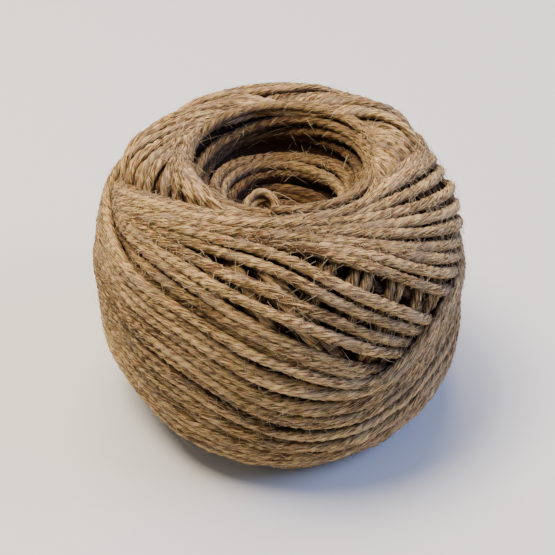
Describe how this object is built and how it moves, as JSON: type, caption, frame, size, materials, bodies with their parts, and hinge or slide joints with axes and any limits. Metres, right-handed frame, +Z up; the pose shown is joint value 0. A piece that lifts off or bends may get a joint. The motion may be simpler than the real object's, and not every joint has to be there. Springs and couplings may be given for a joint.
{
  "type": "ball of twine",
  "caption": "Wound ball of coarse jute twine with crossing turns, a lipped hollow along its axis and a small flat spot to stand on; twine is drawn off for tying.",
  "frame": {"origin": "middle of the flat spot that the ball stands on", "axes": "+Z up along the winding axis, out of the hollow; -Y towards the front of the picture"},
  "size_m": [0.0848, 0.0838, 0.0683],
  "materials": {
    "jute_twine": "hairy natural jute, matt"
  },
  "bodies": {
    "root": {"twine_ball": "jute_twine"}
  },
  "joints": []
}
